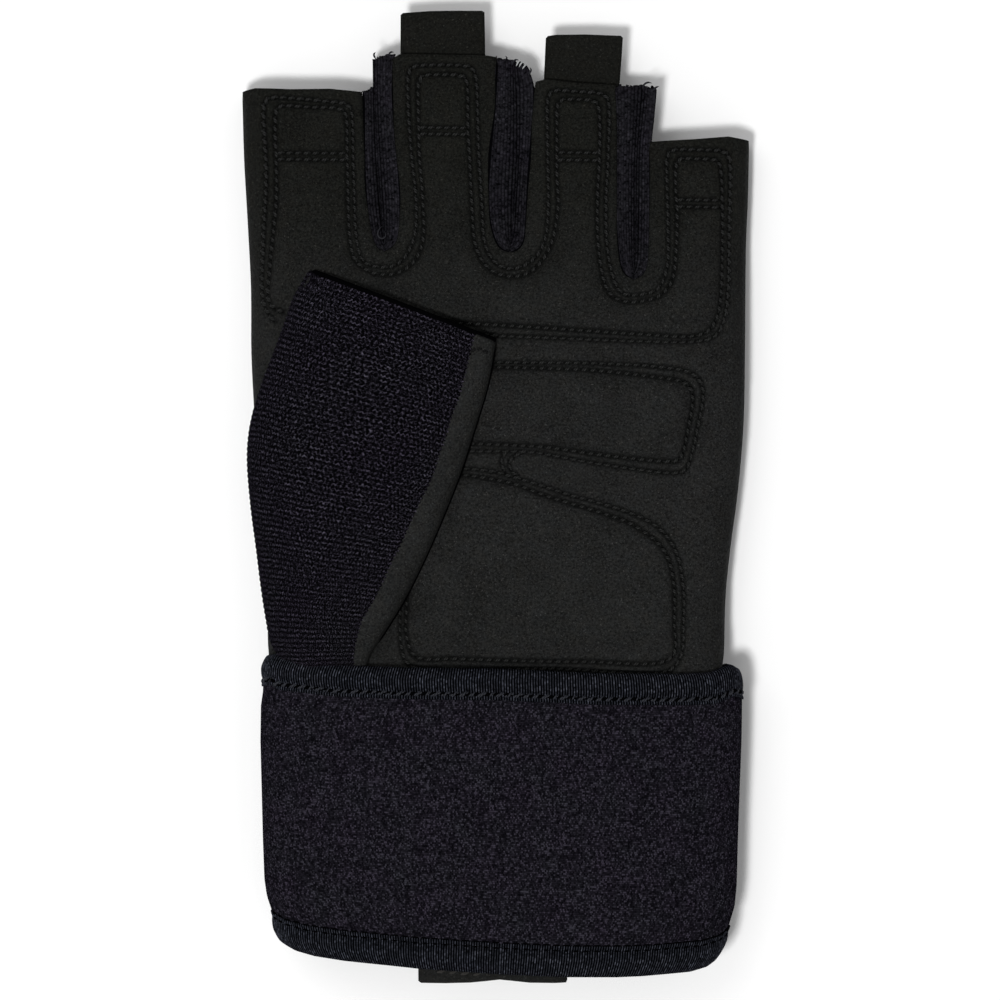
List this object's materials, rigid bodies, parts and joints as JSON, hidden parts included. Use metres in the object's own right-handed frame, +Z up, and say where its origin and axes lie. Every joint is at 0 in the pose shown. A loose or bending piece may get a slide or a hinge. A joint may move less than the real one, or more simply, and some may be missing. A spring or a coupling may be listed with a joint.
{
  "type": "weightlifting glove",
  "caption": "Half-finger weightlifting glove with padded suede palm, knit gussets, knit thumb folded over the palm, leather pull tabs and a wide wrist wrap, lying palm up",
  "frame": {"origin": "middle of the glove's outline on the surface that it lies on", "axes": "+X across the palm towards the little finger, +Y along the hand to the fingertips, +Z up from the surface, out of the palm"},
  "size_m": [0.1068, 0.2062, 0.031],
  "materials": {
    "suede": "matt olive-black suede leather with a fine speckle",
    "knit": "ribbed black stretch knit",
    "jersey": "black jersey over a foam core",
    "binding": "blue-black ribbed elastic binding"
  },
  "bodies": {
    "root": {"palm_panel": "suede", "back_panel": "knit", "gusset_index_middle": "knit", "gusset_middle_ring": "knit", "gusset_ring_pinky": "knit", "upper_palm_pad": "suede", "middle_palm_pad": "suede", "heel_pad": "suede", "pull_tab_middle": "suede", "pull_tab_ring": "suede", "cuff_tab": "suede", "thumb_knit": "knit", "thumb_strip": "suede", "thumb_lining": "suede", "wrist_wrap": "jersey", "wrap_binding_top": "binding", "wrap_binding_bottom": "binding", "wrap_closure": "knit"}
  },
  "joints": []
}
